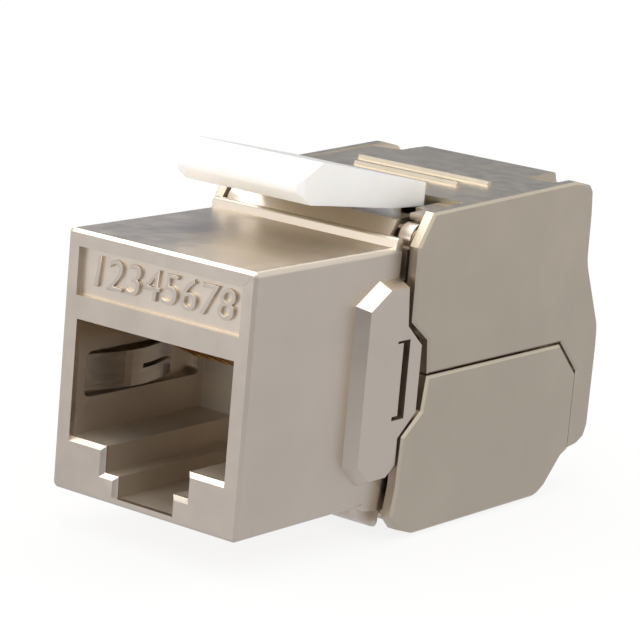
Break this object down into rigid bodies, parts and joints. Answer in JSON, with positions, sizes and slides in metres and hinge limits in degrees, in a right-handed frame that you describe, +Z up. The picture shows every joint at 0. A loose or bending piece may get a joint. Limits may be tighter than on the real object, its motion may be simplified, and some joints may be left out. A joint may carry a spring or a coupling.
{
  "type": "shielded keystone jack",
  "caption": "Shielded keystone network jack: stepped plug port in a cast metal body, rocking white latch on top, and a cable end closed by two hinged jaw shells.",
  "frame": {"origin": "on the plane that the lower shell stands on, under the middle of the jack's length and width", "axes": "+X to the right seen from the plug side, +Y from the port face to the cable end, +Z up towards the latch"},
  "size_m": [0.0164, 0.036, 0.0236],
  "materials": {
    "body_nickel": "satin nickel plating on cast zinc",
    "shell_nickel": "satin nickel plating on cast zinc",
    "dark_plastic": "moulded",
    "grey_plastic": "moulded",
    "pale_plastic": "moulded",
    "white_plastic": "moulded, faintly glossy",
    "board_green": "lacquered board",
    "contact_gold": "gold plated bronze",
    "blade_bronze": "tinned bronze",
    "spring_steel": "bright spring strip"
  },
  "bodies": {
    "core": {"front_body": "body_nickel", "rear_frame": "body_nickel", "contact_carrier": "dark_plastic", "circuit_board": "board_green", "terminal_block": "grey_plastic", "wire_guide": "pale_plastic", "port_spring_left": "spring_steel", "port_spring_right": "spring_steel", "contact_1": "contact_gold", "contact_2": "contact_gold", "contact_3": "contact_gold", "contact_4": "contact_gold", "contact_5": "contact_gold", "contact_6": "contact_gold", "contact_7": "contact_gold", "contact_8": "contact_gold", "terminal_blade_1": "blade_bronze", "terminal_blade_2": "blade_bronze", "terminal_blade_3": "blade_bronze", "terminal_blade_4": "blade_bronze", "terminal_blade_5": "blade_bronze", "terminal_blade_6": "blade_bronze", "terminal_blade_7": "blade_bronze", "terminal_blade_8": "blade_bronze"},
    "upper_jaw": {"upper_shell": "shell_nickel"},
    "lower_jaw": {"lower_shell": "shell_nickel"},
    "latch_arm": {"latch": "white_plastic"}
  },
  "joints": [
    {"name": "upper_jaw_hinge", "type": "hinge", "parent": "core", "child": "upper_jaw", "pos_m": [0, -0.00222, 0.01855], "axis": [1, 0, 0], "range_deg": [0, 75]},
    {"name": "lower_jaw_hinge", "type": "hinge", "parent": "core", "child": "lower_jaw", "pos_m": [0, -0.00202, 0.00195], "axis": [-1, 0, 0], "range_deg": [0, 75]},
    {"name": "latch_rock", "type": "hinge", "parent": "core", "child": "latch_arm", "pos_m": [0, -0.00122, 0.01925], "axis": [1, 0, 0], "range_deg": [0, 14], "stiffness_Nm_per_rad": 0.1, "springref_deg": -5.73}
  ],
  "couplings": [
    {"joint": "lower_jaw_hinge", "follows": "upper_jaw_hinge", "ratio": 1}
  ]
}
